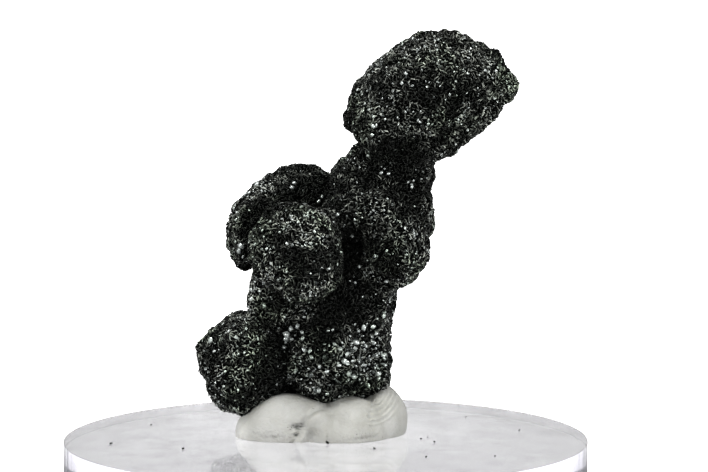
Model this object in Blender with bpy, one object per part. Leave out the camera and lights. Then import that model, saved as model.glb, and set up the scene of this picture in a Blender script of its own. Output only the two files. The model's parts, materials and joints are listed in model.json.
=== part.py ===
"""A clinochlore pseudomorph after quartz, held up by putty on a clear acrylic disc.

Metres, +Z up. The origin is the centre of the disc's underside. The display side faces -Y,
with +X to its right. Sizes below are in millimetres, and heights are above the disc's top face.
"""

import math
import random
from typing import NamedTuple

import bmesh
import bpy
from mathutils import Matrix, Vector, noise

MM = 0.001

# Display disc
DISC_DIAMETER = 50.8
DISC_THICKNESS = 6.35
DISC_EDGE_BEVEL = 0.25
DISC_SIDES = 96
SHARP_ANGLE = 50.0  # degrees between faces that meet in an edge, not in a curve

# Clearance between pieces that touch
GAP = 0.3


class Lobe(NamedTuple):
    """One rounded growth of the cluster, or one roll of the putty."""

    at: tuple  # centre: X, Y and height above the disc's top face
    radii: tuple  # half sizes along X, Y and Z before leaning
    lean: float = 0.0  # degrees about Y that lift the +X end
    flat: tuple = ()  # a flattened side: its outward direction, and its distance from the centre


# The growths, from the top down
BROKEN_SIDE = (0.62, 0.34, -0.71)
GROWTHS = {
    "head": Lobe((9.8, 4.0, 33.1), (7.8, 5.8, 5.5), 26, (BROKEN_SIDE, 5.0)),
    "head_tip": Lobe((14.9, 4.8, 33.1), (3.7, 4.2, 3.2), 0, (BROKEN_SIDE, 1.3)),
    "head_brow": Lobe((11.9, 1.0, 34.9), (2.8, 2.2, 2.3), 10),
    "head_cheek": Lobe((5.6, 2.2, 30.5), (3.1, 3.6, 3.0)),
    "head_chin": Lobe((10.0, 3.2, 29.2), (3.0, 3.6, 2.1), 25),
    "head_knob": Lobe((3.1, 4.6, 30.7), (0.6, 0.8, 0.6)),
    "neck": Lobe((6.9, 4.8, 26.6), (3.7, 3.6, 4.8)),
    "shoulder": Lobe((3.3, 4.4, 24.4), (2.9, 3.3, 3.0)),
    "upper_body": Lobe((6.1, 4.4, 21.5), (4.3, 4.7, 4.8)),
    "body_left": Lobe((2.3, 3.0, 22.0), (2.4, 2.9, 2.9)),
    "lower_body": Lobe((6.5, 3.6, 18.3), (3.2, 3.9, 3.5)),
    "body_right": Lobe((7.4, 2.2, 17.8), (2.3, 2.6, 2.6)),
    "rear_body": Lobe((3.8, 9.4, 19.8), (4.2, 3.7, 4.9)),
    "front_ball": Lobe((-2.9, -0.9, 18.6), (4.4, 4.3, 4.5)),
    "front_ball_low": Lobe((-1.9, -1.8, 16.9), (3.4, 3.4, 3.3)),
    "back_ball": Lobe((-4.3, 8.6, 20.8), (6.2, 4.6, 4.0), 38),
    "back_knob": Lobe((-7.9, 5.6, 17.5), (1.3, 1.9, 1.6)),
    "under_ball": Lobe((-4.8, 3.0, 13.7), (2.8, 3.0, 3.2)),
    "core": Lobe((3.3, 4.8, 13.6), (3.7, 3.9, 4.8)),
    "core_left": Lobe((-1.5, 4.6, 15.0), (4.2, 4.2, 5.0)),
    "right_foot": Lobe((3.8, 4.6, 7.9), (2.45, 3.7, 5.4)),
    "middle_foot": Lobe((0.1, 2.4, 7.5), (4.0, 4.1, 4.5)),
    "left_foot": Lobe((-7.9, 2.3, 6.8), (4.5, 4.0, 4.9), 0, ((-0.92, 0.05, -0.39), 3.95)),
    "rear_foot": Lobe((-1.2, 8.6, 7.2), (5.4, 3.9, 4.9)),
}
UNEVENNESS = 0.07  # how far a growth's radius wanders, as a share
UNEVEN_SCALE = 1.9  # how many wanders there are across one growth

# Secondary knobs that cover every growth
KNOB_PITCH = 2.0
KNOB_RADII = (0.85, 1.45)
KNOB_STAND = (0.15, 0.60)
KNOB_SHAKE = 0.3  # how far a knob strays from its even place, as a share of the pitch
KNOB_SEED = 5

# The putty, rolled and pressed round the feet
ROLLS = {
    "left_roll": Lobe((-3.8, 0.7, 0.5), (4.5, 3.3, 3.9)),
    "left_tip": Lobe((-6.3, 1.6, 0.2), (2.6, 3.2, 2.3)),
    "right_roll": Lobe((2.1, 1.1, 0.2), (4.1, 4.0, 3.5), 10),
    "end_roll": Lobe((5.6, 5.4, 1.0), (2.4, 4.4, 3.7)),
    "rear_roll": Lobe((-0.8, 7.6, 0.2), (7.6, 4.4, 3.2)),
}

# Surface resolution
LOBE_SUBDIVISIONS = 4
KNOB_SUBDIVISIONS = 2
FINE_VOXEL = 0.34
SMOOTHING_ROUNDS = 2
GROWTH_TRIANGLES = 7900
PUTTY_TRIANGLES = 1100
SEAT_TRIANGLES = 2600


def remove_everything():
    for found in list(bpy.data.objects):
        bpy.data.objects.remove(found)


def plain_material(name, colour, roughness, transmission=0.0, ior=1.45):
    made = bpy.data.materials.new(name)
    made.use_nodes = True
    shader = made.node_tree.nodes["Principled BSDF"]
    shader.inputs["Base Color"].default_value = (*colour, 1.0)
    shader.inputs["Roughness"].default_value = roughness
    shader.inputs["Metallic"].default_value = 0.0
    shader.inputs["Transmission Weight"].default_value = transmission
    shader.inputs["IOR"].default_value = ior
    return made


def linked_object(name, mesh):
    made = bpy.data.objects.new(name, mesh)
    bpy.context.scene.collection.objects.link(made)
    return made


def unit_ball(subdivisions):
    """The corners and faces of a ball of radius 1."""
    ball = bmesh.new()
    bmesh.ops.create_icosphere(ball, subdivisions=subdivisions, radius=1.0)
    corners = [corner.co.copy() for corner in ball.verts]
    faces = [[corner.index for corner in face.verts] for face in ball.faces]
    ball.free()
    return corners, faces


class Shells:
    """Closed shells that overlap, gathered in metres before they are fused into one skin."""

    def __init__(self):
        self.corners = []
        self.faces = []

    def add(self, ball, place):
        """Adds one ball, whose unit directions place() turns into points in mm."""
        corners, faces = ball
        first = len(self.corners)
        lift = Vector((0.0, 0.0, DISC_THICKNESS))
        self.corners += [(place(corner) + lift) * MM for corner in corners]
        self.faces += [[first + index for index in face] for face in faces]

    def mesh(self, name):
        made = bpy.data.meshes.new(name)
        made.from_pydata(self.corners, [], self.faces)
        return made


def lobe_point(lobe, direction, swell=0.0):
    """The point of a lobe's skin in a direction given in the lobe's own axes, in mm."""
    wander = 1.0 + UNEVENNESS * noise.noise(direction * UNEVEN_SCALE + Vector(lobe.at))
    radii = [radius * wander + swell for radius in lobe.radii]
    turn = Matrix.Rotation(-math.radians(lobe.lean), 3, "Y")
    offset = turn @ Vector(part * radius for part, radius in zip(direction, radii))
    if lobe.flat:
        side, distance = lobe.flat
        side = Vector(side).normalized()
        offset -= side * max(0.0, offset.dot(side) - distance - swell)
    return Vector(lobe.at) + offset


def spread_directions(count, shake, chance):
    """Directions spread evenly over a ball along a golden spiral, each shaken a little."""
    golden_turn = math.pi * (3.0 - math.sqrt(5.0))
    for index in range(count):
        height = 1.0 - 2.0 * (index + 0.5) / count
        ring = math.sqrt(1.0 - height * height)
        around = golden_turn * index
        direction = Vector((ring * math.cos(around), ring * math.sin(around), height))
        direction += Vector([chance.uniform(-shake, shake) for _ in range(3)])
        yield direction.normalized()


def add_knobs(shells, ball, lobe, swell, chance):
    mean_radius = sum(lobe.radii) / 3.0
    count = round(4.0 * math.pi * mean_radius**2 / KNOB_PITCH**2)
    shake = KNOB_SHAKE * KNOB_PITCH / mean_radius
    for direction in spread_directions(count, shake, chance):
        radius = chance.uniform(*KNOB_RADII)
        stand = chance.uniform(*KNOB_STAND)
        skin = lobe_point(lobe, direction)
        middle = skin + (Vector(lobe.at) - skin).normalized() * (radius - stand)
        size = radius + swell
        shells.add(ball, lambda unit, middle=middle, size=size: middle + unit * size)


def add_modifier(target, kind, **settings):
    made = target.modifiers.new(kind.title(), kind)
    for name, value in settings.items():
        setattr(made, name, value)
    return made


def evaluated_mesh(source):
    """The mesh of an object with its modifiers applied."""
    graph = bpy.context.evaluated_depsgraph_get()
    return bpy.data.meshes.new_from_object(source.evaluated_get(graph))


def apply_modifiers(target):
    mesh = evaluated_mesh(target)
    target.modifiers.clear()
    target.data = mesh


def triangle_count(mesh):
    return sum(len(face.vertices) - 2 for face in mesh.polygons)


def fuse(name, shells, triangles):
    """Fuses overlapping closed shells into one skin of about so many triangles."""
    fused = linked_object(name, shells.mesh(name))
    add_modifier(fused, "REMESH", mode="VOXEL", voxel_size=FINE_VOXEL * MM)
    add_modifier(fused, "SMOOTH", factor=0.5, iterations=SMOOTHING_ROUNDS)
    apply_modifiers(fused)
    ratio = triangles / triangle_count(fused.data)
    add_modifier(fused, "DECIMATE", ratio=ratio, use_collapse_triangulate=True)
    apply_modifiers(fused)
    return fused


def cluster_shells(swell):
    """Every growth and knob as overlapping closed shells, each swollen by so many mm."""
    shells = Shells()
    chance = random.Random(KNOB_SEED)
    lobe_ball, knob_ball = unit_ball(LOBE_SUBDIVISIONS), unit_ball(KNOB_SUBDIVISIONS)
    for lobe in GROWTHS.values():
        shells.add(lobe_ball, lambda unit, lobe=lobe: lobe_point(lobe, unit, swell))
        add_knobs(shells, knob_ball, lobe, swell, chance)
    return shells


def make_cluster():
    cluster = fuse("clinochlore_cluster", cluster_shells(0.0), GROWTH_TRIANGLES)
    cluster.data.materials.append(
        plain_material("clinochlore", (0.012, 0.017, 0.013), 0.35, ior=1.6)
    )
    return cluster


def as_cutter(solid):
    solid.hide_render = True
    solid.display_type = "WIRE"
    return solid


def block_below(height):
    """A block whose top face lies at a height above the disc's top face, in mm."""
    side = DISC_DIAMETER * MM
    block = bmesh.new()
    bmesh.ops.create_cube(block, size=side)
    top = (DISC_THICKNESS + height) * MM
    bmesh.ops.translate(block, verts=block.verts, vec=(0.0, 0.0, top - side / 2.0))
    mesh = bpy.data.meshes.new("block")
    block.to_mesh(mesh)
    block.free()
    return linked_object("block", mesh)


def make_putty():
    """The rolls fused, cut flat over the disc, and hollowed where the feet press in."""
    shells = Shells()
    ball = unit_ball(LOBE_SUBDIVISIONS)
    for roll in ROLLS.values():
        shells.add(ball, lambda unit, roll=roll: lobe_point(roll, unit))
    putty = fuse("putty", shells, PUTTY_TRIANGLES)
    seat = fuse("seat", cluster_shells(GAP), SEAT_TRIANGLES)
    for solid in (block_below(GAP), seat):
        cutter = as_cutter(solid)
        add_modifier(putty, "BOOLEAN", operation="DIFFERENCE", solver="EXACT", object=cutter)
    apply_modifiers(putty)
    putty.data.materials.append(plain_material("putty", (0.72, 0.72, 0.69), 0.55))
    return putty


def make_disc():
    disc = bmesh.new()
    bmesh.ops.create_cone(
        disc,
        cap_ends=True,
        segments=DISC_SIDES,
        radius1=DISC_DIAMETER / 2.0 * MM,
        radius2=DISC_DIAMETER / 2.0 * MM,
        depth=DISC_THICKNESS * MM,
    )
    bmesh.ops.translate(disc, verts=disc.verts, vec=(0.0, 0.0, DISC_THICKNESS / 2.0 * MM))
    mesh = bpy.data.meshes.new("acrylic_disc")
    disc.to_mesh(mesh)
    disc.free()
    made = linked_object("acrylic_disc", mesh)
    add_modifier(
        made,
        "BEVEL",
        width=DISC_EDGE_BEVEL * MM,
        segments=1,
        limit_method="ANGLE",
        angle_limit=math.radians(SHARP_ANGLE),
    )
    mesh.shade_smooth()
    mesh.set_sharp_from_angle(angle=math.radians(SHARP_ANGLE))
    mesh.materials.append(
        plain_material("acrylic", (0.95, 0.95, 0.97), 0.03, transmission=1.0, ior=1.49)
    )
    return made


remove_everything()
make_disc()
make_putty()
make_cluster()
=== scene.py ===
import json
import math
from collections import namedtuple

import bmesh
import bpy
import numpy as np
from mathutils import Matrix, Vector, noise
from mathutils.bvhtree import BVHTree
from mathutils.kdtree import KDTree

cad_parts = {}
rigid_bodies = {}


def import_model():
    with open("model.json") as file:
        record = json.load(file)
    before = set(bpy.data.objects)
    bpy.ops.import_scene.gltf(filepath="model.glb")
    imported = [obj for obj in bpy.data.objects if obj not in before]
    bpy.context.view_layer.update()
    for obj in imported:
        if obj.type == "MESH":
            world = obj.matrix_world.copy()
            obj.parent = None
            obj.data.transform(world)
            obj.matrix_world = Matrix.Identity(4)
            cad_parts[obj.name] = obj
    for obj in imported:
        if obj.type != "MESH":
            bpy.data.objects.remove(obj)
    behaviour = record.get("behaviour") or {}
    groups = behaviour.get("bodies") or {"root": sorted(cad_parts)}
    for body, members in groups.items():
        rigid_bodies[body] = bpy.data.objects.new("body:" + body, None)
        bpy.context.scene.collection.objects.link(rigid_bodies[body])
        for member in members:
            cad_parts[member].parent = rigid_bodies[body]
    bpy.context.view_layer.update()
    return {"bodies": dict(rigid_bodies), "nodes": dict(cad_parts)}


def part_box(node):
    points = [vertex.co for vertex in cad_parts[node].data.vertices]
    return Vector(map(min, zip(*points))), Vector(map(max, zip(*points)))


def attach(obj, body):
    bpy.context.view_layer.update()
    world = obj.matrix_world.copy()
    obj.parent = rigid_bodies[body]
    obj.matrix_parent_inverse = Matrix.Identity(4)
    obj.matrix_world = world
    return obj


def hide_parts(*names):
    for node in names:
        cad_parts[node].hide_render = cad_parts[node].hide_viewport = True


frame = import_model()
body = next(iter(frame["bodies"]))

# The studio. A white floor runs back into a bright backdrop, and four soft lamps hang round the
# specimen. The camera looks at the display side from 340 mm away, a little above it.
MM = 0.001
CAMERA_AT = (2.74, -335.19, 63.34)  # mm
CAMERA_DIP = 6.334  # degrees below level
LENS = 177.72  # mm, on a sensor 36 mm wide
FLOOR_SIDE = 8000.0  # mm
FLOOR_DROP = 0.05  # mm below the disc's underside
FLOOR_GREY = (0.2, 0.2, 0.2, 1.0)
FLOOR_GLOW = (1.2, 0.70)  # seen directly, and lighting matt things
THROUGH_GLOW = 0.73  # seen through the clear disc's sides
THROUGH_MIDDLE = (-0.08, 0.25)  # added to that in the middle of its front, and of its back
THROUGH_ASIDE = (24.0, 4.0)  # mm to either side, where the sides end and the middle is full
THROUGH_DEPTH = (-10.0, 12.0)  # mm, where the front ends and the back is full
BEHIND_GLOW = 0.7  # of the floor that the disc's wall mirrors
BEHIND_DEPTH = (15.0, 45.0)  # mm, where that starts and is full
BACKDROP_GLOW = (0.01, 0.36)  # from in front of the specimen, and from behind it
BACKDROP_TURN = (0.2, 0.95)  # the Y of directions, from the one to the other
SOFT_GLOW = 0.46  # of the whole backdrop on matt things
CLEAR_GLOW = 0.50  # of the backdrop seen through the clear disc
LAMPS = {
    # name: (place in mm, side in mm, radiance)
    "top_lamp": ((-40.0, -90.0, 400.0), 170.0, 12.0),
    "left_lamp": ((-340.0, -210.0, 85.0), 120.0, 14.5),
    "right_lamp": ((350.0, -160.0, 90.0), 125.0, 14.0),
    "front_lamp": ((60.0, -430.0, 110.0), 100.0, 14.0),
}
LAMPS_AIM = (0.0, 4.0, 28.0)  # mm


def linked(name, data):
    """A new object in the scene."""
    made = bpy.data.objects.new(name, data)
    bpy.context.scene.collection.objects.link(made)
    return made


def new_material(name):
    """A material with its node tree, its Principled shader and its output."""
    made = bpy.data.materials.new(name)
    made.use_nodes = True
    tree = made.node_tree
    return made, tree, tree.nodes["Principled BSDF"], tree.nodes["Material Output"]


def node(tree, kind, inputs=(), **settings):
    """One shader node, with its settings, and its inputs as values or as links from sockets."""
    made = tree.nodes.new("ShaderNode" + kind)
    for name, value in settings.items():
        setattr(made, name, value)
    for name, value in dict(inputs).items():
        if isinstance(value, bpy.types.NodeSocket):
            tree.links.new(value, made.inputs[name])
        else:
            made.inputs[name].default_value = value
    return made


def worked_out(tree, operation, *values):
    """The result of a Math node on values or sockets."""
    return node(tree, "Math", dict(enumerate(values)), operation=operation).outputs[0]


def mapped(tree, value, start, end, low=0.0, high=1.0, interpolation="LINEAR"):
    """Carries a value from the range between start and end to the one between low and high."""
    ranges = {"From Min": start, "From Max": end, "To Min": low, "To Max": high}
    made = node(tree, "MapRange", {"Value": value, **ranges}, interpolation_type=interpolation)
    return made.outputs[0]


camera_data = bpy.data.cameras.new("camera")
camera_data.sensor_width = 36.0
camera_data.lens = LENS
camera_data.clip_start = 0.01
camera = linked("camera", camera_data)
camera.location = Vector(CAMERA_AT) * MM
camera.rotation_euler = (math.radians(90.0 - CAMERA_DIP), 0.0, 0.0)
bpy.context.scene.camera = camera
bpy.context.scene.view_settings.view_transform = "Standard"
bpy.context.scene.view_settings.look = "High Contrast"

half = FLOOR_SIDE / 2.0 * MM
floor_mesh = bpy.data.meshes.new("floor")
floor_corners = [(-half, -half, 0.0), (half, -half, 0.0), (half, half, 0.0), (-half, half, 0.0)]
floor_mesh.from_pydata(floor_corners, [], [(0, 1, 2, 3)])
floor = linked("floor", floor_mesh)
floor.location.z = -FLOOR_DROP * MM
floor_paper, tree, shader, _ = new_material("floor_paper")
shader.inputs["Base Color"].default_value = FLOOR_GREY
shader.inputs["Roughness"].default_value = 0.9
shader.inputs["Emission Color"].default_value = (1.0, 1.0, 1.0, 1.0)
path = node(tree, "LightPath").outputs
spot = node(tree, "SeparateXYZ", {"Vector": node(tree, "TexCoord").outputs["Object"]}).outputs
start, end = (depth * MM for depth in BEHIND_DEPTH)
mirrored = mapped(tree, spot["Y"], start, end, 0.0, BEHIND_GLOW)
start, end = (aside * MM for aside in THROUGH_ASIDE)
aside = worked_out(tree, "ABSOLUTE", spot["X"])
in_middle = mapped(tree, aside, start, end, interpolation="SMOOTHSTEP")
start, end = (depth * MM for depth in THROUGH_DEPTH)
added = mapped(tree, spot["Y"], start, end, *THROUGH_MIDDLE, interpolation="SMOOTHSTEP")
through = worked_out(tree, "MULTIPLY_ADD", in_middle, added, THROUGH_GLOW)
glow = 0.0
for ray, strength in (
    ("Is Camera Ray", FLOOR_GLOW[0]),
    ("Is Transmission Ray", through),
    ("Is Diffuse Ray", FLOOR_GLOW[1]),
    ("Is Glossy Ray", mirrored),
):
    glow = worked_out(tree, "MAXIMUM", worked_out(tree, "MULTIPLY", path[ray], strength), glow)
tree.links.new(glow, shader.inputs["Emission Strength"])
floor_paper.cycles.emission_sampling = "NONE"
floor_mesh.materials.append(floor_paper)

for name, (place, side, radiance) in LAMPS.items():
    lamp_data = bpy.data.lights.new(name, "AREA")
    lamp_data.shape = "SQUARE"
    lamp_data.size = side * MM
    lamp_data.energy = radiance * math.pi * (side * MM) ** 2
    lamp = linked(name, lamp_data)
    lamp.location = Vector(place) * MM
    towards = (Vector(LAMPS_AIM) - Vector(place)).normalized()
    lamp.rotation_euler = towards.to_track_quat("-Z", "Y").to_euler()
    lamp.visible_transmission = False

backdrop = bpy.data.worlds.new("backdrop")
backdrop.use_nodes = True
bpy.context.scene.world = backdrop
tree = backdrop.node_tree
tree.nodes.clear()
path = node(tree, "LightPath").outputs
way = node(tree, "SeparateXYZ", {"Vector": node(tree, "TexCoord").outputs["Generated"]}).outputs
behind = mapped(tree, way["Y"], *BACKDROP_TURN, *BACKDROP_GLOW, interpolation="SMOOTHSTEP")
soft = worked_out(tree, "MULTIPLY", path["Is Diffuse Ray"], SOFT_GLOW)
around = node(tree, "Background", {"Strength": worked_out(tree, "MAXIMUM", behind, soft)})
clear = worked_out(tree, "MULTIPLY", path["Is Transmission Ray"], CLEAR_GLOW)
plain = worked_out(tree, "MAXIMUM", path["Is Camera Ray"], clear)
seen = node(tree, "Background", {"Strength": plain})
in_sight = worked_out(tree, "MAXIMUM", path["Is Camera Ray"], path["Is Transmission Ray"])
mixed = node(tree, "MixShader", {0: in_sight, 1: around.outputs[0], 2: seen.outputs[0]})
node(tree, "OutputWorld", {"Surface": mixed.outputs[0]})
backdrop.cycles.sampling_method = "NONE"

# The display disc. Clear cast acrylic cut out by a laser, which leaves upright ripples all round its
# wall, with the two faces still polished. The putty holds the specimen on it.
DISC_SIDES = 720
DISC_EASING = 0.02  # mm, the rounded-over edge
EASING_STEPS = 3
RIPPLE_DEPTH = 0.006  # mm
RIPPLE_PITCHES = (0.42, 0.67, 1.9)  # mm
RIPPLE_BEATS = (0.9, 1.0, 1.13)  # near pitches that swell and fade together
RIPPLE_SEED = 11
CREASE_ANGLE = 8.0  # degrees, past which an edge shows sharp
ACRYLIC_TINT = (0.78, 0.765, 0.87, 1.0)
ACRYLIC_DENSITY = 16.0  # per metre


def mesh_piece(name, points, faces, smooth=False):
    """An object with a mesh from arrays: points in mm, and faces of one size or a list of any."""
    mesh = bpy.data.meshes.new(name)
    mesh.from_pydata((np.asarray(points) * MM).tolist(), [], faces)
    mesh.validate()
    if smooth:
        mesh.shade_smooth()
    return linked(name, mesh)


disc_low, disc_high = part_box("acrylic_disc")
disc_radius = (disc_high.x - disc_low.x) / 2.0 / MM
disc_top = disc_high.z / MM

angles = np.arange(DISC_SIDES) * (2.0 * math.pi / DISC_SIDES)
chance = np.random.default_rng(RIPPLE_SEED)
ripple = np.zeros(DISC_SIDES)
for pitch in RIPPLE_PITCHES:
    waves = round(2.0 * math.pi * disc_radius / pitch)
    for beat in RIPPLE_BEATS:
        ripple += np.sin(angles * round(waves * beat) + chance.uniform(0.0, 2.0 * math.pi))
ripple *= RIPPLE_DEPTH / np.abs(ripple).max()

easing = [math.pi / 2.0 * step / EASING_STEPS for step in range(EASING_STEPS + 1)]
profile = [
    (disc_radius - DISC_EASING * (1.0 - math.sin(turn)), DISC_EASING * (1.0 - math.cos(turn)))
    for turn in easing
]
profile += [(radius, disc_top - height) for radius, height in reversed(profile)]
disc_points = []
for radius, height in profile:
    edge = radius + ripple * (radius > disc_radius - DISC_EASING / 2.0) - RIPPLE_DEPTH
    disc_points.append(
        np.stack([edge * np.cos(angles), edge * np.sin(angles), np.full(DISC_SIDES, height)], 1)
    )
disc_points = np.concatenate(disc_points)
disc_faces = [list(range(DISC_SIDES))[::-1]]
for ring in range(len(profile) - 1):
    low, high = ring * DISC_SIDES, (ring + 1) * DISC_SIDES
    for side in range(DISC_SIDES):
        after = (side + 1) % DISC_SIDES
        disc_faces.append([low + side, low + after, high + after, high + side])
disc_faces.append(list(range((len(profile) - 1) * DISC_SIDES, len(profile) * DISC_SIDES)))
disc = mesh_piece("disc", disc_points, disc_faces, smooth=True)
disc.data.set_sharp_from_angle(angle=math.radians(CREASE_ANGLE))


def speckle_group():
    """A shader group: patches or grain from 0 to 1, at so many to the metre in each direction."""
    group = bpy.data.node_groups.new("speckle", "ShaderNodeTree")
    for name, kind, start in (
        ("Pitch", "NodeSocketVector", (1000.0, 1000.0, 1000.0)),
        ("Detail", "NodeSocketFloat", 3.0),
        ("Darkest", "NodeSocketFloat", 0.35),
        ("Lightest", "NodeSocketFloat", 0.65),
    ):
        group.interface.new_socket(name, in_out="INPUT", socket_type=kind).default_value = start
    group.interface.new_socket("Mask", in_out="OUTPUT", socket_type="NodeSocketFloat")
    given = group.nodes.new("NodeGroupInput").outputs
    ended = group.nodes.new("NodeGroupOutput").inputs
    where = node(group, "TexCoord").outputs["Object"]
    scaled = node(group, "VectorMath", {0: where, 1: given["Pitch"]}, operation="MULTIPLY").outputs[0]
    grain = node(group, "TexNoise", {"Vector": scaled, "Scale": 1.0, "Detail": given["Detail"]})
    level = mapped(group, grain.outputs[0], given["Darkest"], given["Lightest"])
    group.links.new(level, ended["Mask"])
    return group


speckle = speckle_group()


def speckled(tree, pitch, detail=3.0, darkest=0.35, lightest=0.65):
    """The speckle group in a material, pitch being the patches in a metre along X, Y and Z."""
    made = node(tree, "Group", node_tree=speckle)
    made.inputs["Pitch"].default_value = pitch if isinstance(pitch, tuple) else (pitch,) * 3
    made.inputs["Detail"].default_value = detail
    made.inputs["Darkest"].default_value = darkest
    made.inputs["Lightest"].default_value = lightest
    return made.outputs["Mask"]


def ramp(tree, mask, *colours):
    """Blends colours over a mask, each as (place on the mask, red, green, blue)."""
    made = node(tree, "ValToRGB", {"Fac": mask})
    stops = made.color_ramp.elements
    while len(stops) < len(colours):
        stops.new(0.5)
    for stop, (place, *colour) in zip(stops, colours):
        stop.position = place
        stop.color = (*colour, 1.0)
    return made.outputs[0]


def bumped(tree, shader, mask, height, strength=1.0):
    """Lets a mask raise a surface by a height in mm."""
    bump = node(tree, "Bump", {"Height": mask, "Strength": strength, "Distance": height * MM})
    tree.links.new(bump.outputs[0], shader.inputs["Normal"])


def acrylic(name, smoothest, roughest, grain_pitch):
    """Clear plastic, its roughness between two values by a grain of so many to the metre."""
    made, tree, shader, output = new_material(name)
    grain = speckled(tree, grain_pitch, detail=4.0, darkest=0.35, lightest=0.7)
    roughness = mapped(tree, grain, 0.0, 1.0, smoothest, roughest)
    tree.links.new(roughness, shader.inputs["Roughness"])
    bumped(tree, shader, grain, 0.01, 0.05)
    shader.inputs["Base Color"].default_value = (1.0, 1.0, 1.0, 1.0)
    shader.inputs["Transmission Weight"].default_value = 1.0
    shader.inputs["IOR"].default_value = 1.49
    inside = node(tree, "VolumeAbsorption", {"Color": ACRYLIC_TINT, "Density": ACRYLIC_DENSITY})
    tree.links.new(inside.outputs[0], output.inputs["Volume"])
    return made


polished = acrylic("acrylic_face", smoothest=0.02, roughest=0.10, grain_pitch=300.0)
cut = acrylic("acrylic_cut_edge", smoothest=0.02, roughest=0.12, grain_pitch=(5000.0, 5000.0, 40.0))
for material in (polished, cut):
    disc.data.materials.append(material)
for polygon in disc.data.polygons:
    polygon.material_index = 0 if abs(polygon.normal.z) > 0.9 else 1
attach(disc, body)
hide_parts("acrylic_disc")

# The putty. A roll of white mineral tack, twisted over itself by hand and pressed round the feet of
# the specimen and down on the disc. Fingers have left dents, pulled marks and the ridges of a print.
ROLLS = {
    # name: (centre with its height above the disc, half sizes, lean in degrees), in mm
    "left_roll": ((-3.8, 0.7, 0.5), (4.5, 3.3, 3.9), 0.0),
    "left_tip": ((-6.3, 1.6, 0.2), (2.6, 3.3, 2.6), 0.0),
    "right_roll": ((2.2, 1.1, 0.3), (4.0, 4.0, 3.65), 12.0),
    "middle_roll": ((0.1, 0.5, 0.2), (2.7, 3.45, 3.0), 8.0),
    "twisted_lip": ((-0.3, -0.05, 1.1), (1.9, 2.8, 3.2), 42.0),
    "end_roll": ((5.4, 4.2, 1.0), (2.6, 4.6, 3.65), 0.0),
    "rear_roll": ((-0.8, 7.6, 0.2), (7.6, 4.4, 3.2), 0.0),
}
PUTTY_VOXEL = 0.12  # mm
PUTTY_SMOOTHINGS = 60
PUTTY_LIFT = 0.02  # mm, a film of air under it
# Marks on the display side, by X and height above the disc, in mm.
TWIST = ((-3.2, -0.4), (-2.5, 0.7), (-2.0, 1.6), (-1.75, 2.4), (-0.8, 3.0), (1.1, 3.5))
TWIST_LIP = (0.40, 0.42, 0.16)  # place beside the line, half width and height
TWIST_GROOVE = (-0.12, 0.26, -0.17)
LINES = (
    # points, half width and height
    (((-6.4, 0.55), (-5.0, 0.50), (-4.0, 0.70)), 0.18, -0.04),
    (((0.15, -0.1), (0.1, 1.2)), 0.10, -0.06),
    (((4.5, 4.0), (4.3, 3.1), (4.25, 2.3)), 0.17, -0.16),
    (((2.6, 0.35), (4.8, 0.55)), 0.15, -0.06),
)
DENTS = (
    # middle, half sizes and height
    ((-2.75, 1.55), (0.50, 0.30), -0.45),
    ((-2.85, 0.75), (0.28, 0.16), -0.30),
    ((4.55, 1.55), (0.45, 0.40), -0.14),
    ((1.9, 1.9), (1.9, 0.8), -0.12),
    ((-5.6, 2.4), (1.3, 1.0), -0.10),
)
PULLED = ((-4.0, 2.0), (1.2, 1.0), 0.055)
GRIME = (
    # middle, half sizes and how dark the crust's dust has made the putty there
    ((-2.75, 1.45), (0.66, 0.36), 0.9),
    ((-2.85, 0.72), (0.26, 0.15), 0.8),
    ((-4.8, 0.55), (1.7, 0.16), 0.30),
    ((3.9, 0.45), (1.2, 0.12), 0.30),
    ((0.12, 0.50), (0.06, 0.70), 0.45),
)
PAINTED_LIGHT_END = ((-8.6, 1.2), (1.0, 1.7))  # middle and half sizes of the left end, painted lighter than the rest as painted light where the left foot's shade falls
PRINT_MIDDLE = (4.7, 4.5)
PRINT_RADII = (0.9, 3.2)  # mm
PRINT_START = 3.6  # mm, its left end
PRINT_FADE = (0.4, 0.8)  # mm, round its edge and at its left end
PRINT_WANDER = 0.12  # mm
RIDGE_PITCH = 0.47  # mm
RIDGE_HEIGHT = 0.06  # mm
# Lumps left by the fingers all over: waves to the mm, and rise in mm.
LUMPS = (0.45, 0.14)
FINE_LUMPS = (2.2, 0.02)
# Painted light: the lighter colour given to the left end, where the left foot shades it.
PAINTED_LIGHT_PUTTY = (0.60, 0.60, 0.57, 1.0)
DUSTY_PUTTY = (0.115, 0.12, 0.108, 1.0)


def ball_shell(subdivisions):
    """The points and faces of a ball of radius 1."""
    ball = bmesh.new()
    bmesh.ops.create_icosphere(ball, subdivisions=subdivisions, radius=1.0)
    points = np.array([corner.co for corner in ball.verts])
    faces = np.array([[corner.index for corner in face.verts] for face in ball.faces])
    ball.free()
    return points, faces


def apply_modifiers(piece, *modifiers):
    """Adds each modifier, as (kind, settings), to a piece and applies them in turn."""
    for kind, settings in modifiers:
        made = piece.modifiers.new(kind.title(), kind)
        for name, value in settings.items():
            setattr(made, name, value)
    graph = bpy.context.evaluated_depsgraph_get()
    mesh = bpy.data.meshes.new_from_object(piece.evaluated_get(graph))
    piece.modifiers.clear()
    piece.data = mesh


def points_of(mesh):
    """The points of a mesh in mm."""
    points = np.empty(len(mesh.vertices) * 3)
    mesh.vertices.foreach_get("co", points)
    return points.reshape(-1, 3) / MM


def normals_of(mesh):
    """The normals at the points of a mesh."""
    normals = np.empty(len(mesh.vertices) * 3)
    mesh.vertices.foreach_get("normal", normals)
    return normals.reshape(-1, 3)


def put_points(mesh, points):
    """Moves the points of a mesh to new places in mm."""
    mesh.vertices.foreach_set("co", (points * MM).ravel())
    mesh.update()


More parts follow.
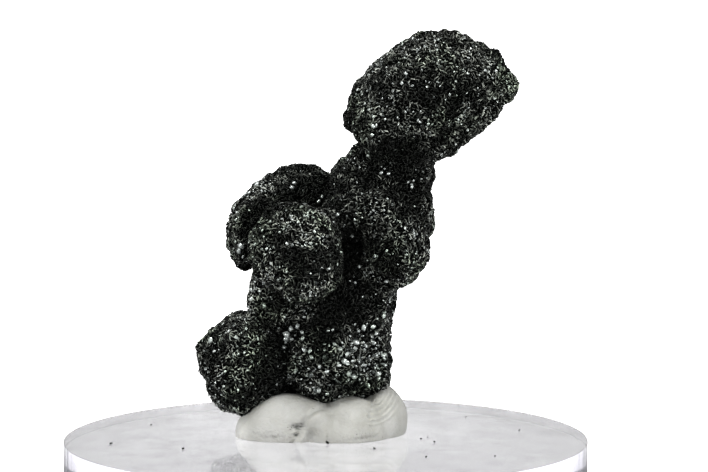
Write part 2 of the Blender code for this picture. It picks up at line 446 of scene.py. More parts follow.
def from_line(spots, line):
    """How far each spot lies from a line of points, negative on the left going along it."""
    best = np.full(len(spots), np.inf)
    side = np.ones(len(spots))
    for start, end in zip(np.array(line)[:-1], np.array(line)[1:]):
        step = end - start
        share = np.clip(((spots - start) @ step) / (step @ step), 0.0, 1.0)
        gap = spots - start - share[:, None] * step
        far = np.hypot(*gap.T)
        closer = far < best
        best = np.where(closer, far, best)
        side = np.where(closer, np.sign(step[1] * gap[:, 0] - step[0] * gap[:, 1]), side)
    return best * side


def hump(distance, half_width):
    """1 where the distance is 0, falling off smoothly, with 0.37 left at the half width."""
    return np.exp(-((distance / half_width) ** 2))


def oval(spots, middle, half_sizes):
    """A hump on the display side, with a half size along X and one upwards."""
    return hump(np.hypot(*((spots - middle) / half_sizes).T), 1.0)


shell_points, shell_faces = ball_shell(subdivisions=6)
roll_points, roll_faces = [], []
for centre, half_sizes, lean in ROLLS.values():
    turn = np.array(Matrix.Rotation(-math.radians(lean), 3, "Y"))
    roll_faces.append(shell_faces + len(roll_faces) * len(shell_points))
    roll_points.append(shell_points * half_sizes @ turn.T + centre + (0.0, 0.0, disc_top))
putty = mesh_piece("putty_rolls", np.concatenate(roll_points), np.concatenate(roll_faces).tolist())
apply_modifiers(
    putty,
    ("REMESH", {"mode": "VOXEL", "voxel_size": PUTTY_VOXEL * MM}),
    ("SMOOTH", {"factor": 0.5, "iterations": PUTTY_SMOOTHINGS}),
)
points = points_of(putty.data)
normals = normals_of(putty.data)
spots = points[:, (0, 2)] - (0.0, disc_top)
shown = np.clip(-1.6 * normals[:, 1], 0.0, 1.0)  # 1 on the display side, and 0 on the back
twist = from_line(spots, TWIST)
marks = np.zeros(len(points))
for place, half_width, rise in (TWIST_LIP, TWIST_GROOVE):
    marks += rise * hump(twist - place, half_width)
for line, half_width, rise in LINES:
    marks += rise * hump(from_line(spots, line), half_width)
for middle, half_sizes, rise in DENTS:
    marks += rise * oval(spots, middle, half_sizes)
lumps = np.array([noise.noise(Vector(point) * LUMPS[0]) for point in points])
fine = np.array([noise.noise(Vector(point) * FINE_LUMPS[0]) for point in points])
# Strands pulled up towards the right, four times as fine across as along.
strands = np.array([noise.noise(Vector((x + z, 1.0, 4.0 * (z - 0.8 * x)))) for x, _, z in points])
middle, half_sizes, rise = PULLED
marks += rise * strands * oval(spots, middle, half_sizes)
reach = np.hypot(*(spots - PRINT_MIDDLE).T) + PRINT_WANDER * lumps
from_edge = np.minimum(reach - PRINT_RADII[0], PRINT_RADII[1] - reach)
printed = np.clip(from_edge / PRINT_FADE[0], 0.0, 1.0)
printed *= np.clip((spots[:, 0] - PRINT_START) / PRINT_FADE[1], 0.0, 1.0)
marks += RIDGE_HEIGHT * printed * np.cos(2.0 * math.pi * reach / RIDGE_PITCH)
height = shown * marks + LUMPS[1] * lumps + FINE_LUMPS[1] * fine
points += normals * height[:, None]
points[:, 2] = np.maximum(points[:, 2], disc_top + PUTTY_LIFT)
put_points(putty.data, points)
putty.data.shade_smooth()
# The dust lies in level streaks.
streaks = np.array([noise.noise(Vector((3.0 * x + z, 2.0, 9.0 * z))) for x, _, z in points])
grime = np.zeros(len(points))
for middle, half_sizes, dark in GRIME:
    grime += dark * oval(spots, middle, half_sizes)
grime = np.clip(shown * grime * (0.40 + 1.9 * streaks), 0.0, 1.0)
# Painted light over the putty's left end, against the left foot's shade.
painted_light = oval(spots, *PAINTED_LIGHT_END)
for name, values in (("grime", grime), ("painted_light", painted_light)):
    putty.data.attributes.new(name, "FLOAT", "POINT").data.foreach_set("value", values)


def mixed_colour(tree, mask, first, second, blend="MIX"):
    """Brings the second colour into the first over a mask."""
    inputs = {0: mask, 6: first, 7: second}
    return node(tree, "Mix", inputs, data_type="RGBA", blend_type=blend).outputs[2]


putty_white, tree, shader, _ = new_material("putty_white")
cloudy = speckled(tree, 350.0, detail=5.0)
clean = ramp(tree, cloudy, (0.0, 0.325, 0.325, 0.30), (1.0, 0.39, 0.39, 0.372))
painted_light, grime = (
    node(tree, "Attribute", attribute_name=name).outputs["Fac"] for name in ("painted_light", "grime")
)
# The left end is painted lighter, as painted light where the left foot shades it.
clean = mixed_colour(tree, painted_light, clean, PAINTED_LIGHT_PUTTY)
tree.links.new(mixed_colour(tree, grime, clean, DUSTY_PUTTY), shader.inputs["Base Color"])
shader.inputs["Roughness"].default_value = 0.55
shader.inputs["Subsurface Weight"].default_value = 0.6
shader.inputs["Subsurface Radius"].default_value = (1.0, 0.95, 0.85)
shader.inputs["Subsurface Scale"].default_value = 0.0006
bumped(tree, shader, speckled(tree, 3500.0, detail=3.0), 0.05, 0.7)
putty.data.materials.append(putty_white)
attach(putty, body)
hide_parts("putty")

# The specimen's crust. Quartz crystals once stood here, and clinochlore took their place and grew on
# outwards, so rounded growths carry a skin of low rosettes. Every plate stands on this skin.
CRUST_VOXEL = 0.26  # mm
CRUST_DROP = 0.26  # mm that the skin lies below the tips of its plates
ROSETTE_PITCH = 1.35  # mm
ROSETTE_REACH = 0.62  # of the pitch
ROSETTE_RISE = 0.24  # mm
ROSETTE_SEED = 21
# Small swellings and hollows of the outline: X, Y and height above the disc, reach and rise, in mm.
SWELLINGS = (
    (14.4, 4.3, 38.9, 1.3, -0.44), (14.9, 2.9, 38.2, 0.7, -0.25), (16.3, 3.7, 37.9, 0.6, -0.29),
    (12.4, 2.1, 39.4, 0.6, -0.22), (13.2, 2.1, 28.8, 1.5, 0.44), (11.8, 2.5, 27.7, 0.9, 0.39),
    (16.6, 3.3, 31.1, 0.9, -0.50), (18.4, 3.5, 34.9, 0.8, 0.30), (3.0, 5.0, 27.8, 1.0, 0.49),
    (9.8, 4.9, 39.0, 0.7, 0.34), (5.2, 4.0, 36.6, 0.7, 0.24), (3.4, 4.5, 35.2, 0.9, -0.29),
    (2.2, 3.3, 31.2, 0.6, 0.15), (2.4, 2.2, 30.5, 0.8, -0.29), (3.1, 0.9, 29.0, 0.5, 0.20),
    (10.5, 4.0, 25.2, 0.5, -0.20), (10.3, 3.6, 22.5, 0.5, 0.20), (10.3, 3.3, 21.5, 0.5, -0.18),
    (10.3, 4.4, 20.1, 0.8, 0.44), (9.7, 2.6, 18.6, 0.9, 0.49), (7.5, 2.6, 15.0, 1.1, 0.55),
    (7.3, 4.7, 14.5, 0.7, 0.45), (6.7, 3.3, 12.9, 0.9, -0.80), (6.2, 5.0, 5.1, 0.8, 0.29),
    (-8.1, 8.3, 15.9, 0.9, -0.44), (-8.3, 4.5, 15.9, 1.2, -0.60), (-9.4, 6.0, 17.3, 0.5, 0.20),
    (-9.4, 9.4, 20.8, 0.5, 0.29), (-9.6, 9.3, 17.8, 0.6, 0.29), (-10.0, 9.3, 19.4, 0.6, -0.24),
    (-7.0, 9.1, 23.7, 0.8, 0.24), (-6.1, 8.5, 25.0, 0.6, -0.29), (-2.9, 8.1, 25.9, 1.2, 0.15),
    (-8.4, 3.6, 11.6, 1.1, 0.49), (-7.7, 2.0, 12.6, 0.6, 0.30), (-12.1, 2.4, 9.4, 0.6, 0.29),
    (-8.8, -0.2, 2.3, 0.5, 0.30), (16.2, 4.2, 30.8, 0.8, -0.35), (14.9, 2.6, 29.9, 0.7, 0.35),
    (7.3, 5.2, 12.9, 1.0, -0.45), (-3.7, 2.6, 9.9, 1.6, 1.20),
)
GRAIN_PITCH = 0.6  # mm
GRAIN_RISE = 0.08  # mm


def skin_samples(mesh, cell, chance):
    """Points on a mesh and its normals there, at most one for each cell of a grid, in mm."""
    mesh.calc_loop_triangles()
    corners = np.empty(len(mesh.loop_triangles) * 3, int)
    mesh.loop_triangles.foreach_get("vertices", corners)
    corners = corners.reshape(-1, 3)
    points, normals = points_of(mesh), normals_of(mesh)
    a, b, c = (points[corners[:, k]] for k in range(3))
    areas = np.linalg.norm(np.cross(b - a, c - a), axis=1) / 2.0
    count = int(areas.sum() / cell**2 * 8.0)  # 8 tries a cell, so that few cells stay empty
    chosen = chance.choice(len(areas), count, p=areas / areas.sum())
    u, v = chance.random((2, count, 1))
    flip = u + v > 1.0
    u, v = np.where(flip, 1.0 - u, u), np.where(flip, 1.0 - v, v)
    weights = (1.0 - u - v, u, v)
    at = sum(w * points[corners[chosen, k]] for k, w in enumerate(weights))
    facing = sum(w * normals[corners[chosen, k]] for k, w in enumerate(weights))
    facing /= np.linalg.norm(facing, axis=1, keepdims=True)
    cells = np.floor(at / cell).astype(int)
    _, first = np.unique(cells, axis=0, return_index=True)
    first = chance.permutation(first)
    return at[first], facing[first]


def nearest_of(centres, points, at_once=4000):
    """For each point, the index of its nearest centre and how far away that is."""
    index = np.empty(len(points), int)
    distance = np.empty(len(points))
    for start in range(0, len(points), at_once):
        batch = slice(start, start + at_once)
        squares = ((points[batch, None] - centres[None]) ** 2).sum(2)
        index[batch] = squares.argmin(1)
        distance[batch] = np.sqrt(squares.min(1))
    return index, distance


def away_from(points, place):
    """How far each point lies from a place by its X, Y and height above the disc, in mm."""
    x, y, z = place
    return np.linalg.norm(points - (x, y, z + disc_top), axis=1)


crust = linked("crust", frame["nodes"]["clinochlore_cluster"].data.copy())
crust.data.materials.clear()
apply_modifiers(
    crust,
    ("REMESH", {"mode": "VOXEL", "voxel_size": CRUST_VOXEL * MM}),
    ("SMOOTH", {"factor": 0.5, "iterations": 4}),
)
rosettes, _ = skin_samples(crust.data, ROSETTE_PITCH, np.random.default_rng(ROSETTE_SEED))
points = points_of(crust.data)
normals = normals_of(crust.data)
_, away = nearest_of(rosettes, points)
dome = 1.0 - np.minimum(away / (ROSETTE_PITCH * ROSETTE_REACH), 1.0) ** 2
grains = np.array([noise.voronoi(Vector(point) / GRAIN_PITCH)[0][0] for point in points])
height = -CRUST_DROP + ROSETTE_RISE * (dome - 0.5) + GRAIN_RISE * (0.5 - grains)
for *place, spread, rise in SWELLINGS:
    height += rise * hump(away_from(points, place), spread)
points += normals * height[:, None]
put_points(crust.data, points)
crust.data.shade_smooth()

crust_stone, tree, shader, _ = new_material("crust_stone")
grain = speckled(tree, 3500.0, darkest=0.4, lightest=0.75)
dark = ramp(tree, grain, (0.0, 0.0015, 0.002, 0.0015), (1.0, 0.009, 0.011, 0.009))
tree.links.new(dark, shader.inputs["Base Color"])
shader.inputs["Roughness"].default_value = 0.5
shader.inputs["IOR"].default_value = 1.2
bumped(tree, shader, grain, 0.1, 0.8)
crust.data.materials.append(crust_stone)
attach(crust, body)
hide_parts("clinochlore_cluster")

# The plates. Clinochlore is a mica-like mineral: it grows as thin six-sided plates, most of them
# standing on edge side by side in rosettes, and each flat face is a small mirror.
PLATE_CELL = 0.24  # mm, one plate for each cell that the skin crosses
PLATE_SEED = 3
STANDING, LEANING, SILVERY = range(3)
# By kind of plate: its share, its tilt from the skin in degrees and its half width in mm, and how far
# its middle is above the skin, in mm and by its half width.
SHARES = (0.66, 0.22, 0.12)
TILTS = ((55.0, 90.0), (15.0, 62.0), (0.0, 45.0))
HALF_WIDTHS = ((0.15, 0.34), (0.12, 0.25), (0.08, 0.19))
ROOTS = ((0.22, -0.75), (0.12, 0.0), (0.22, 0.0))
SIZE_SKEW = 1.4  # small plates outnumber the big ones
PLATE_THICKNESS = (0.07, 0.12)  # mm
SLIMNESS = (0.65, 1.0)  # of the lying plates, width by length
CURL = 0.6  # of half a turn, the most that a rosette's plates are turned round it
CURL_SPREAD = 0.45  # radians from one plate to the next
LOOSE_SHARE = 0.15  # of the plates are turned any way
# The crust's lighter and darker patches, and the finer clumps in them: size in mm, and contrast.
PATCH_SIZE, PATCH_CONTRAST = 3.2, 1.3
CLUMP_SIZE, CLUMP_CONTRAST = 0.8, 1.2
PATCH_LEVEL, LIGHTEST_PATCH = 0.5, 1.3
ROSETTE_TONES = (0.40, 1.5)  # from one rosette to the next
SILVERY_BY_PATCH = (0.12, 1.75)  # of the silvery share: in a dark patch, and added by a light one
# The growths' seams, painted dark as painted shade: how many rays look out, how far, and from where.
OPEN_CELL = 0.8  # mm between the places that look out
OPEN_RAYS = 20
OPEN_REACH = 14.0  # mm
OPEN_START = 0.45  # mm above the skin
OPEN_RANGE = (0.40, 1.0)  # share of clear rays from a dark seam to a clear place
OPEN_BLEND = 4  # places are averaged for each plate
# Patches given one by one: reach in mm, how much lighter or darker, and places by X, Y and height above
# the disc.
# Most of these patches are painted light and painted shade on the crust's colour.
PAINTED_LIGHT_AND_TONE_PATCHES = (
    # dark and light patches seen in the middle of the growths, partly the crust's own tone and partly
    # painted shade and painted light
    (1.5, -0.6, ((-1.9, -5.0, 17.8),)),
    (3.2, -0.10, ((-2.6, -3.5, 20.0),)),
    (1.4, -0.4, ((0.2, -1.5, 10.3),)),
    (3.0, -0.2, ((9.8, -1.2, 32.0),)),
    (3.0, 0.15, ((4.6, 1.2, 8.5),)),
    (2.0, 0.30, ((-2.2, -0.8, 7.0),)),
    (3.0, 0.18, ((9.0, 1.5, 36.5), (13.5, 1.5, 36.0))),
    (3.0, 0.12, ((4.5, -0.5, 32.5), (-6.5, 7.5, 22.5))),
    (1.2, 0.25, ((4.1, 1.2, 16.8), (4.3, 1.2, 18.2), (-2.7, 0.4, 12.9), (-1.6, 0.5, 13.0))),
    # painted shadow under the head
    (2.2, -0.9, ((6.9, 1.0, 26.3), (7.8, 0.8, 28.0))),
    (1.5, -0.4, ((7.9, 1.2, 24.6),)),
    # painted shade in the seam behind the front growth, from its left end over the top to its right end
    # and under it
    (1.1, -0.9, ((-7.7, 4.7, 20.0), (-6.9, 4.8, 21.3), (-6.2, 4.6, 21.9), (-5.0, 4.6, 22.7))),
    (1.1, -0.9, ((-3.5, 4.4, 23.3), (-2.0, 4.7, 23.6), (-0.6, 5.4, 23.0))),
    (0.9, -0.6, ((2.1, 2.1, 19.2), (2.4, 2.4, 17.7), (2.4, 1.7, 16.3), (2.2, 1.2, 14.9))),
    (1.0, -0.7, ((1.4, 1.4, 13.7), (0.4, 1.1, 12.9), (1.9, 1.4, 12.2), (0.4, 0.3, 11.8))),
    # a painted highlight on the front growth's rim, the same way round
    (0.7, 0.20, ((-7.0, -2.3, 19.7), (-6.5, -2.1, 20.8), (-5.5, -2.5, 21.7), (-4.1, -2.5, 22.7))),
    (0.7, 0.20, ((-2.2, -2.3, 23.0), (-0.7, -2.4, 22.4), (0.4, -2.6, 21.1), (1.2, -2.7, 19.4))),
    (0.7, 0.20, ((1.6, -1.9, 17.5), (1.5, -2.5, 15.8))),
    # painted light on the left side of the left foot, painted shade on its right side, and a painted
    # highlight on the edge of the next foot
    (1.6, 0.35, ((-12.2, 2.0, 8.5), (-11.8, 1.5, 5.5), (-10.5, 1.5, 3.2))),
    (2.0, -0.8, ((-5.5, -0.8, 6.4),)),
    (0.8, -0.7, ((-4.6, 0.2, 8.4), (-4.6, -0.1, 7.0), (-4.7, 0.0, 5.6))),
    (0.6, 0.40, ((-3.5, 0.2, 8.4), (-3.6, -0.1, 7.2), (-3.3, 0.2, 5.9))),
    # a painted highlight on the lower right edge of the head and a line of painted shade beside it
    (0.6, 0.25, ((17.8, 2.5, 33.8), (17.2, 1.6, 32.8), (16.2, 0.9, 31.8), (15.3, 0.5, 31.1))),
    (0.6, -0.4, ((16.9, 1.2, 34.0), (16.2, 0.5, 33.0), (15.2, 0.0, 32.1))),
)
# Places with big silvery plates: X, Y and height above the disc, reach and share, in mm.
SILVER_SPOTS = (
    (-3.6, -1.6, 10.3, 1.4, 0.55),
    (2.6, -0.6, 8.0, 2.6, 0.25),
    (4.8, 1.0, 8.5, 2.6, 0.35),
    (-6.6, -1.3, 14.8, 1.5, 0.45),
    (-11.0, 0.3, 9.2, 1.2, 0.20),
    (-0.4, -2.0, 4.8, 1.8, 0.25),
    (-8.3, 3.0, 16.8, 1.3, 0.40),
    (-2.6, -0.8, 6.5, 2.0, 0.25),
)
SILVER_HALF_WIDTHS = (0.16, 0.42)  # mm, there
# Single bright plates of the display side: X, Y and height above the disc, and half width, in mm.
BRIGHT_PLATES = (
    (-3.7, 1.2, 9.9, 0.50), (-3.9, 1.2, 9.6, 0.34), (-3.4, 1.2, 10.4, 0.34), (-2.7, 1.2, 10.6, 0.32),
    (-6.7, 8.1, 23.9, 0.30), (-8.0, 9.0, 22.8, 0.26), (-7.5, 8.2, 23.1, 0.24), (-3.4, 4.8, 24.0, 0.26),
    (-3.0, 5.2, 24.4, 0.22), (-8.9, 8.3, 21.4, 0.18), (-6.3, 6.0, 23.4, 0.18), (-3.1, 0.8, 9.6, 0.22),
    (-2.4, 0.1, 10.3, 0.26), (-2.1, -0.4, 9.8, 0.26), (-3.9, 1.0, 9.2, 0.22), (-4.1, 0.9, 8.7, 0.24),
    (-1.6, -1.1, 8.8, 0.30), (-1.4, -1.5, 8.1, 0.28), (0.8, -1.2, 9.4, 0.24), (3.6, 1.3, 10.8, 0.34),
    (3.2, 1.1, 10.4, 0.22), (5.6, 2.0, 11.6, 0.30), (4.7, 1.2, 10.7, 0.30), (4.9, 1.5, 10.0, 0.24),
    (3.0, 0.1, 9.3, 0.30), (2.7, -0.6, 8.9, 0.26), (2.0, -1.0, 8.4, 0.26), (1.3, -1.4, 7.5, 0.24),
    (0.1, -1.8, 6.8, 0.30), (-0.6, -0.7, 4.8, 0.30), (0.1, -0.7, 4.6, 0.20), (4.9, 1.5, 6.1, 0.30),
    (5.1, 1.5, 5.6, 0.24), (4.3, 0.9, 5.1, 0.22), (5.4, 1.5, 7.9, 0.22), (-0.5, -1.8, 7.3, 0.22),
    (-3.1, -0.7, 6.7, 0.22), (5.8, 2.2, 6.9, 0.22), (2.5, -1.1, 7.9, 0.22), (4.5, -1.2, 30.4, 0.24),
    (4.5, -1.1, 29.8, 0.22), (8.4, 1.6, 24.4, 0.20), (4.2, 2.3, 27.5, 0.22), (7.3, -1.0, 34.7, 0.20),
    (13.5, -0.9, 35.4, 0.18), (16.4, 1.0, 35.6, 0.18), (12.7, -0.8, 31.2, 0.18), (7.6, -1.1, 35.6, 0.20),
    (15.5, 0.4, 35.8, 0.18), (16.3, 1.0, 33.0, 0.16), (11.9, -1.6, 33.5, 0.16), (5.3, 1.3, 25.9, 0.24),
    (6.0, 1.2, 25.6, 0.20), (8.4, 1.6, 24.5, 0.18), (6.0, 0.1, 23.3, 0.15), (2.8, 0.1, 21.4, 0.16),
    (2.6, 1.2, 19.7, 0.22), (4.8, -0.1, 17.7, 0.17), (5.9, -0.3, 18.4, 0.18), (7.6, 0.0, 20.5, 0.17),
    (5.9, 1.7, 15.2, 0.26), (4.2, 2.3, 27.5, 0.20), (-6.8, -2.8, 19.5, 0.22), (-5.5, -4.2, 19.1, 0.20),
    (-1.4, -4.7, 19.6, 0.17), (-2.0, -3.5, 22.1, 0.18), (-1.7, -3.4, 22.2, 0.18), (1.5, -2.3, 18.4, 0.18),
    (1.2, 0.0, 21.8, 0.22), (-8.3, 4.2, 18.4, 0.36), (-8.6, 4.0, 17.7, 0.32), (-5.2, -3.0, 21.7, 0.18),
    (-6.0, -3.2, 20.6, 0.16), (-4.3, -4.4, 20.6, 0.16), (-1.0, -4.2, 20.7, 0.18), (-0.8, 5.2, 22.7, 0.24),
    (-0.3, 5.5, 23.1, 0.20), (-6.0, 0.3, 12.9, 0.26), (-7.2, 1.0, 13.6, 0.28), (-7.2, 1.4, 14.4, 0.26),
    (-6.5, 0.5, 14.3, 0.20), (-9.4, -0.1, 10.6, 0.22), (-8.6, -1.1, 10.0, 0.24), (-7.7, -0.1, 10.7, 0.20),
    (-10.8, -0.5, 8.7, 0.20), (-6.5, -0.8, 9.8, 0.20), (-9.7, -1.5, 6.8, 0.16),
)
# They face the camera, the small ones less exactly. A plate of this half width in mm turns away from
# it by this share towards the skin's own direction, and by this share at random.
BRIGHT_HALF_WIDTH = 0.2
BRIGHT_TURN = 0.25
BRIGHT_SWING = 0.09
BRIGHT_LIFT = (0.12, 0.35)  # towards the camera, in mm and by the half width
BRIGHT_TONES = (0.5, 0.95)
GROUPS = {
    # name: the middle of a growth with its height above the disc, in mm
    "head_plates": (9.9, 4.0, 33.2),
    "body_plates": (6.5, 4.0, 20.5),
    "front_plates": (-2.8, -1.2, 18.2),
    "back_plates": (-1.5, 9.0, 20.3),
    "left_foot_plates": (-7.9, 2.3, 6.8),
    "right_foot_plates": (2.4, 4.0, 8.0),
}
HEXAGON = [(math.cos(math.radians(60 * k)), math.sin(math.radians(60 * k))) for k in range(6)]
HALF_PLATE = HEXAGON[:4]  # what stands out of the skin
FLAKE = [(x * far, y * far) for (x, y), far in zip(HEXAGON, (1.05, 0.76, 1.13, 1.0, 0.69, 1.05))]

# Many plates, with a row for each: places and sizes in mm, directions of length 1 or shorter.
Plates = namedtuple(
    "Plates", ("middle", "along", "outward", "normal", "half_width", "thickness", "tone", "patch", "kind")
)


def unit(vectors):
    """The same directions, each of length 1."""
    return vectors / (np.linalg.norm(vectors, axis=1, keepdims=True) + 1e-9)


def between(limits, kinds, share):
    """A value between the limits of each plate's kind."""
    low, high = np.array(limits)[kinds].T
    return low + (high - low) * share


def tilted(facing, lean_way, degrees):
    """The normals of plates tilted out of the skin, and the ways along it and outwards in each."""
    tilt = np.radians(degrees)[:, None]
    normal = unit(facing * np.cos(tilt) + lean_way * np.sin(tilt))
    along = unit(np.cross(normal, facing))
    return normal, along, np.cross(along, normal)


def openness(mesh, at, chance):
    """How open the surroundings of each place on the skin are, from 0 in a seam to 1."""
    skin = BVHTree.FromPolygons(points_of(mesh), [tuple(face.vertices) for face in mesh.polygons])
    looks, ways = skin_samples(mesh, OPEN_CELL, chance)
    found = KDTree(len(looks))
    clear = []
    for index, (look, way) in enumerate(zip(looks, ways)):
        # Most rays leave near the skin's normal, as most of a matt surface's light arrives.
        rays = unit(unit(chance.normal(size=(OPEN_RAYS, 3))) + way * 1.02)
        start = Vector(look + way * OPEN_START)
        hits = sum(skin.ray_cast(start, Vector(ray), OPEN_REACH)[0] is not None for ray in rays)
        clear.append(1.0 - hits / OPEN_RAYS)
        found.insert(look, index)
    found.balance()
    near = [[index for _, index, _ in found.find_n(place, OPEN_BLEND)] for place in at]
    share = np.array(clear)[np.array(near)].mean(1)
    low, high = OPEN_RANGE
    return np.clip((share - low) / (high - low), 0.0, 1.0)


def tone_and_painted_light_at(at, own, chance):
    """How light the crust's colour is at each place, from 0, with own the rosette that it belongs to: its
    own tone, darkened as painted shade in the seams, with the listed patches of painted light and shade
    added.
    """
    broad = np.array([noise.noise(Vector(point) / PATCH_SIZE) for point in at])
    clumps = np.array([noise.noise(Vector(point) / CLUMP_SIZE) for point in at])
    light = np.clip(PATCH_LEVEL + PATCH_CONTRAST * broad + CLUMP_CONTRAST * clumps, 0.0, 1.0)
    light *= chance.uniform(*ROSETTE_TONES, len(rosettes))[own]
    # Painted shade: the colour darkens in the seams between the growths, where less light gets in.
    light *= openness(crust.data, at, chance)
    for spread, step, places in PAINTED_LIGHT_AND_TONE_PATCHES:
        for place in places:
            light += step * hump(away_from(at, place), spread)
    return np.clip(light, 0.0, LIGHTEST_PATCH)


chance = np.random.default_rng(PLATE_SEED)
at, facing = skin_samples(crust.data, PLATE_CELL, chance)
count = len(at)
tone = chance.random(count)
size = chance.random(count) ** SIZE_SKEW
own, _ = nearest_of(rosettes, at)
# Each plate's lightness: the crust's own tone in patches and rosettes, times painted shade in the seams,
# plus the listed patches of painted light and shade.
patch = tone_and_painted_light_at(at, own, chance)

# Silvery plates gather in a few places, and elsewhere where the crust's own tone and its painted light
# are lighter, with fewest in the painted shade of the seams.
silvery = SHARES[SILVERY] * (SILVERY_BY_PATCH[0] + SILVERY_BY_PATCH[1] * patch)
big = np.zeros(count, bool)
for *place, spread, share in SILVER_SPOTS:
    here = share * hump(away_from(at, place), spread)
    big |= chance.random(count) < here
    silvery = np.maximum(silvery, here)
draw = chance.random(count)
leaning = draw < silvery + SHARES[LEANING]
kinds = np.where(draw < silvery, SILVERY, np.where(leaning, LEANING, STANDING))
half_width = between(HALF_WIDTHS, kinds, size)
large = big & (kinds == SILVERY)
half_width[large] = SILVER_HALF_WIDTHS[0] + np.ptp(SILVER_HALF_WIDTHS) * size[large]

# Within a rosette the plates curl round its middle, more or less turned in from one to the next.
outwards = at - rosettes[own]
outwards = unit(outwards - facing * (outwards * facing).sum(1, keepdims=True))
sideways = np.cross(facing, outwards)
curl = chance.uniform(0.0, math.pi, len(rosettes))[own] * CURL + chance.normal(0.0, CURL_SPREAD, count)
loose = chance.random(count) < LOOSE_SHARE
curl = np.where(loose, chance.uniform(0.0, 2.0 * math.pi, count), curl)
lean_way = outwards * np.cos(curl)[:, None] + sideways * np.sin(curl)[:, None]
tilts = between(TILTS, kinds, chance.random(count))
plate_normal, along, outward = tilted(facing, lean_way, tilts)
outward *= np.sign((outward * facing).sum(1, keepdims=True) + 1e-12)
thickness = chance.uniform(*PLATE_THICKNESS, count)

# The single bright plates take the place of the plates nearest to them.
bright = np.array(BRIGHT_PLATES)
chosen = [away_from(at, place).argmin() for place in bright[:, :3]]
kinds[chosen] = SILVERY
half_width[chosen] = bright[:, 3]
tone[chosen] = chance.uniform(*BRIGHT_TONES, len(bright))
seen_from = unit(np.array(CAMERA_AT) - at[chosen])
loose_by = BRIGHT_HALF_WIDTH / half_width[chosen, None]
swing = BRIGHT_TURN * facing[chosen] + chance.normal(0.0, BRIGHT_SWING, (len(bright), 3))
plate_normal[chosen] = unit(seen_from + loose_by * swing)
along[chosen] = unit(np.cross(plate_normal[chosen], chance.normal(size=(len(bright), 3))))
outward[chosen] = np.cross(along[chosen], plate_normal[chosen])

slim = np.where(kinds == STANDING, 1.0, chance.uniform(*SLIMNESS, count))
along *= slim[:, None]
roots = np.array(ROOTS)[kinds]
middle = at + facing * (roots[:, 0] + roots[:, 1] * half_width)[:, None]
middle[chosen] += seen_from * (BRIGHT_LIFT[0] + BRIGHT_LIFT[1] * half_width[chosen, None])
plates = Plates(middle, along, outward, plate_normal, half_width, thickness, tone, patch, kinds)


def plates_mesh(name, plates, outline):
    """One mesh of many plates, each a closed prism on the outline."""
    sides, count = len(outline), len(plates.middle)
    points = np.empty((count, 2 * sides, 3))
    reach = plates.half_width[:, None]
    rise = plates.normal * (plates.thickness[:, None] / 2.0)
    for corner, (x, y) in enumerate(outline):
        spot = plates.middle + plates.along * (x * reach) + plates.outward * (y * reach)
        points[:, corner] = spot + rise
        points[:, corner + sides] = spot - rise
    loops = list(range(sides)) + list(range(sides, 2 * sides))[::-1]
    for k in range(sides):
        loops += [k, k + sides, (k + 1) % sides + sides, (k + 1) % sides]
    starts = [0, sides] + [2 * sides + 4 * k for k in range(sides)]
    first = np.arange(count)[:, None]
    mesh = bpy.data.meshes.new(name)
    mesh.vertices.add(count * 2 * sides)
    mesh.vertices.foreach_set("co", (points * MM).ravel())
    mesh.loops.add(count * len(loops))
    mesh.loops.foreach_set("vertex_index", (first * 2 * sides + np.array(loops)).ravel())
    mesh.polygons.add(count * len(starts))
    mesh.polygons.foreach_set("loop_start", (first * len(loops) + np.array(starts)).ravel())
    for attribute, values in (
        ("rim", np.tile([0.0] * 2 + [1.0] * sides, count)),
        ("shade", np.repeat(plates.tone, len(starts))),
        ("patch", np.repeat(plates.patch, len(starts))),
        ("silver", np.repeat((plates.kind == SILVERY) * 1.0, len(starts))),
    ):
        mesh.attributes.new(attribute, "FLOAT", "FACE").data.foreach_set("value", values)
    mesh.update(calc_edges=True)
    mesh.validate()
    return mesh


plate_stone, tree, shader, _ = new_material("plate_stone")
rim, shade, tone_and_painted_light_mask, silver = (
    node(tree, "Attribute", attribute_name=name).outputs["Fac"]
    for name in ("rim", "shade", "patch", "silver")
)
dark_face = ramp(tree, shade, (0.0, 0.0006, 0.0008, 0.0006), (1.0, 0.005, 0.0065, 0.005))
silver_face = ramp(tree, shade, (0.0, 0.05, 0.057, 0.054), (1.0, 0.58, 0.615, 0.60))
face = mixed_colour(tree, silver, dark_face, silver_face)
lit = worked_out(tree, "POWER", shade, 2.2)
# The rims follow that lightness, so they carry painted shade and painted light as well as the crust's own
# tone.
rim_tone_and_painted_light = worked_out(tree, "MULTIPLY", lit, mapped(tree, tone_and_painted_light_mask, 0.0, 1.0, 0.09, 1.08))
rim_face = ramp(tree, rim_tone_and_painted_light, (0.0, 0.004, 0.005, 0.004), (1.0, 0.50, 0.52, 0.475))
stone = mixed_colour(tree, rim, face, rim_face)
in_green = speckled(tree, 230.0, detail=2.0, darkest=0.48, lightest=0.66)
greener = mixed_colour(tree, in_green, stone, (0.93, 1.0, 0.89, 1.0), "MULTIPLY")
tree.links.new(greener, shader.inputs["Base Color"])
tree.links.new(mapped(tree, rim, 0.0, 1.0, 0.22, 0.5), shader.inputs["Roughness"])
tree.links.new(worked_out(tree, "MULTIPLY", silver, 0.5), shader.inputs["Metallic"])
shader.inputs["IOR"].default_value = 1.42
shader.inputs["Specular IOR Level"].default_value = 0.35

growths = np.array(list(GROUPS.values())) + (0.0, 0.0, disc_top)
nearest, _ = nearest_of(growths, at)
for index, name in enumerate(GROUPS):
    for end, wanted, outline in (
        ("", kinds == STANDING, HALF_PLATE),
        ("_lying", kinds != STANDING, FLAKE),
    ):
        rows = np.nonzero((nearest == index) & wanted)[0]
        group = Plates(*(column[rows] for column in plates))
        piece = linked(name + end, plates_mesh(name + end, group, outline))
        piece.data.materials.append(plate_stone)
        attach(piece, body)

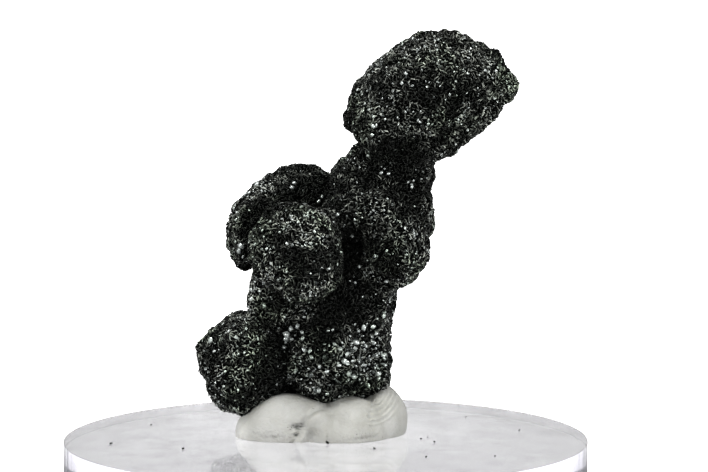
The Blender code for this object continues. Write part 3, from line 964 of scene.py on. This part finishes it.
# The crumbs. A few flakes have come off the specimen, and lie on the disc or stick in the putty's
# folds. They are plates of the same mineral.
CRUMB_SEED = 8
CRUMB_TILT = (5.0, 40.0)  # degrees
CRUMB_THICKNESS = 0.7  # of the half width
STUCK_HALF_WIDTH = (0.02, 0.045)  # mm
FRONT_SIDE = -0.25  # the putty's normals along Y, of the side that the stuck crumbs are on
LOOSE_CRUMBS = (
    # X, Y and half width, in mm
    (-17.41, 7.87, 0.11), (-17.2, 9.3, 0.07), (-20.65, -3.15, 0.15), (-13.55, -6.3, 0.12),
    (9.24, -0.4, 0.11), (9.9, 0.29, 0.08), (10.49, -2.53, 0.11), (9.52, -10.7, 0.10),
    (16.02, -10.21, 0.09), (0.19, -3.38, 0.20), (4.68, -5.86, 0.12), (14.0, 12.5, 0.10),
    (-9.5, 15.0, 0.12), (-3.0, 17.5, 0.08), (19.0, 4.5, 0.09),
)
STUCK_CRUMBS = (
    # X and height above the disc, spread along each, and how many
    (-2.75, 1.55, 0.40, 0.18, 7), (-2.85, 0.8, 0.3, 0.15, 3), (-5.0, 0.72, 1.1, 0.10, 5),
    (3.6, 0.5, 1.2, 0.2, 4), (0.15, 0.6, 0.05, 0.5, 2), (-0.6, 3.2, 0.6, 0.15, 5),
)

chance = np.random.default_rng(CRUMB_SEED)
loose = np.array(LOOSE_CRUMBS)
putty_points, putty_normals = points_of(putty.data), normals_of(putty.data)
in_front = np.nonzero(putty_normals[:, 1] < FRONT_SIDE)[0]
front_spots = putty_points[in_front][:, (0, 2)] - (0.0, disc_top)
stuck = []
for x, z, spread_x, spread_z, number in STUCK_CRUMBS:
    for spot in chance.normal((x, z), (spread_x, spread_z), (number, 2)):
        stuck.append(in_front[np.hypot(*(front_spots - spot).T).argmin()])
loose_at = np.column_stack([loose[:, :2], np.full(len(loose), disc_top)])
at = np.concatenate([loose_at, putty_points[stuck]])
facing = np.concatenate([np.tile((0.0, 0.0, 1.0), (len(loose), 1)), putty_normals[stuck]])
count = len(at)
half_width = np.concatenate([loose[:, 2], chance.uniform(*STUCK_HALF_WIDTH, len(stuck))])
lean_way = unit(np.cross(facing, chance.normal(size=(count, 3))))
tilts = chance.uniform(*CRUMB_TILT, count)
plate_normal, along, outward = tilted(facing, lean_way, tilts)
thickness = half_width * CRUMB_THICKNESS
lift = half_width * np.sin(np.radians(tilts))
middle = at + facing * (lift + thickness * 0.3)[:, None]
middle[: len(loose), 2] = disc_top + (lift + thickness * 0.5)[: len(loose)]
tone, patch, kinds = chance.random(count) * 0.5, np.zeros(count), np.full(count, LEANING)
flakes = Plates(middle, along, outward, plate_normal, half_width, thickness, tone, patch, kinds)
crumbs = linked("crumbs", plates_mesh("crumbs", flakes, FLAKE))
crumbs.data.materials.append(plate_stone)
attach(crumbs, body)
